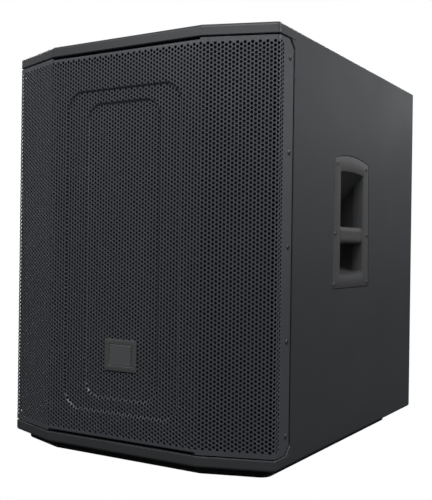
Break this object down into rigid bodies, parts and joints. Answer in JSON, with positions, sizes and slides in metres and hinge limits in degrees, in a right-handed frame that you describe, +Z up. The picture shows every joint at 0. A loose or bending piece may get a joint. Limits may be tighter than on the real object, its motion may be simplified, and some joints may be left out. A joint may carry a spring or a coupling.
{
  "type": "subwoofer cabinet",
  "caption": "Powered floor subwoofer cabinet with a faceted wraparound perforated grille, side handle pockets, a base skid, a pole socket and a rear amplifier module.",
  "frame": {"origin": "on the floor under the middle of the cabinet's plan", "axes": "+Z up, +X to the right as seen from the front, the front grille faces -Y"},
  "size_m": [0.5344, 0.688, 0.693],
  "materials": {
    "cabinet_paint": "plywood under fine-textured satin black paint",
    "baffle_board": "plywood, painted flat black",
    "bare_plywood": "bare birch plywood",
    "grille_steel": "satin black powder coat on perforated steel",
    "grille_fabric": "black acoustic cloth",
    "badge_plastic": "satin black",
    "badge_gloss": "semi-gloss black, blank",
    "black_screw": "black zinc",
    "handle_plastic": "fine grained black moulding",
    "grip_plastic": "fine grained black moulding",
    "skid_rubber": "matt black",
    "socket_steel": "black powder coat",
    "port_plastic": "matt black",
    "gasket_foam": "closed-cell foam",
    "basket_casting": "cast and painted black",
    "surround_cloth": "doped pleated cloth",
    "cone_pulp": "treated paper pulp",
    "coil_former": "former and copper winding",
    "spider_cloth": "phenolic cloth",
    "magnet_steel": "zinc plated",
    "ferrite": "sintered ferrite",
    "terminal_plastic": "moulded",
    "zinc_bolt": "zinc plated",
    "amp_paint": "black powder coat",
    "sink_anodised": "black anodised",
    "housing_zinc": "zinc-coated sheet",
    "board_laminate": "green laminate",
    "winding": "copper winding, taped",
    "capacitor_sleeve": "sleeved can",
    "bezel_plastic": "semi-gloss black",
    "display_glass": "smoked window",
    "shaft_steel": "plated",
    "knob_rubber": "soft-touch black",
    "connector_plastic": "black moulding",
    "latch_plastic": "grey moulding",
    "rocker_plastic": "black moulding",
    "lead_red": "insulated lead",
    "lead_black": "insulated lead"
  },
  "bodies": {
    "cabinet": {"amp_housing": "housing_zinc", "amp_panel": "amp_paint", "amp_screws": "black_screw", "back_plate": "magnet_steel", "badge_insert": "badge_gloss", "badge_plate": "badge_plastic", "baffle": "baffle_board", "base_skid": "skid_rubber", "bottom_panel": "cabinet_paint", "circuit_board": "board_laminate", "combo_jack_1": "connector_plastic", "combo_jack_2": "connector_plastic", "display_bezel": "bezel_plastic", "display_window": "display_glass", "driver_basket": "basket_casting", "driver_bolts": "zinc_bolt", "driver_gasket": "gasket_foam", "driver_t_nuts": "zinc_bolt", "driver_terminals": "terminal_plastic", "filter_capacitors": "capacitor_sleeve", "gain_pots": "shaft_steel", "grille": "grille_steel", "grille_cloth": "grille_fabric", "grille_screws": "black_screw", "handle_bar_left": "grip_plastic", "handle_bar_right": "grip_plastic", "handle_cup_left": "handle_plastic", "handle_cup_right": "handle_plastic", "heatsink": "sink_anodised", "magnet_ring": "ferrite", "mains_inlet": "connector_plastic", "pole_socket": "socket_steel", "port_tube_left": "port_plastic", "port_tube_right": "port_plastic", "power_switch_frame": "connector_plastic", "power_transformer": "winding", "rear_panel": "cabinet_paint", "side_panel_left": "cabinet_paint", "side_panel_right": "cabinet_paint", "speaker_lead_black": "lead_black", "speaker_lead_red": "lead_red", "spider": "spider_cloth", "surround": "surround_cloth", "top_panel": "cabinet_paint", "top_plate": "magnet_steel", "window_brace": "bare_plywood", "wood_screws": "black_screw", "xlr_out_1": "connector_plastic", "xlr_out_2": "connector_plastic"},
    "cone_assembly": {"cone": "cone_pulp", "dust_cap": "cone_pulp", "voice_coil": "coil_former"},
    "encoder_shaft": {"encoder_shaft": "shaft_steel"},
    "encoder_knob": {"encoder_knob": "knob_rubber"},
    "gain_knob_1": {"gain_knob_1": "knob_rubber"},
    "gain_knob_2": {"gain_knob_2": "knob_rubber"},
    "jack_latch_1": {"jack_latch_1": "latch_plastic"},
    "jack_latch_2": {"jack_latch_2": "latch_plastic"},
    "power_rocker": {"power_rocker": "rocker_plastic"}
  },
  "joints": [
    {"name": "cone_travel", "type": "slide", "parent": "cabinet", "child": "cone_assembly", "axis": [0, -1, 0], "range_m": [-0.01, 0.01], "stiffness_N_per_m": 6000, "deforming": ["surround", "spider"]},
    {"name": "encoder_push", "type": "slide", "parent": "cabinet", "child": "encoder_shaft", "axis": [0, -1, 0], "range_m": [0, 0.0008], "stiffness_N_per_m": 900},
    {"name": "encoder_turn", "type": "hinge", "parent": "encoder_shaft", "child": "encoder_knob", "pos_m": [-0.025, 0.327, 0.358], "axis": [0, 1, 0], "continuous": true},
    {"name": "gain_turn_1", "type": "hinge", "parent": "cabinet", "child": "gain_knob_1", "pos_m": [0.038, 0.327, 0.358], "axis": [0, 1, 0], "range_deg": [-150, 150]},
    {"name": "gain_turn_2", "type": "hinge", "parent": "cabinet", "child": "gain_knob_2", "pos_m": [0.096, 0.327, 0.358], "axis": [0, 1, 0], "range_deg": [-150, 150]},
    {"name": "latch_press_1", "type": "slide", "parent": "cabinet", "child": "jack_latch_1", "axis": [0, -1, 0], "range_m": [0, 0.0015], "stiffness_N_per_m": 500},
    {"name": "latch_press_2", "type": "slide", "parent": "cabinet", "child": "jack_latch_2", "axis": [0, -1, 0], "range_m": [0, 0.0015], "stiffness_N_per_m": 500},
    {"name": "power_switch", "type": "hinge", "parent": "cabinet", "child": "power_rocker", "pos_m": [-0.05, 0.322, 0.203], "axis": [1, 0, 0], "range_deg": [0, 16]}
  ]
}
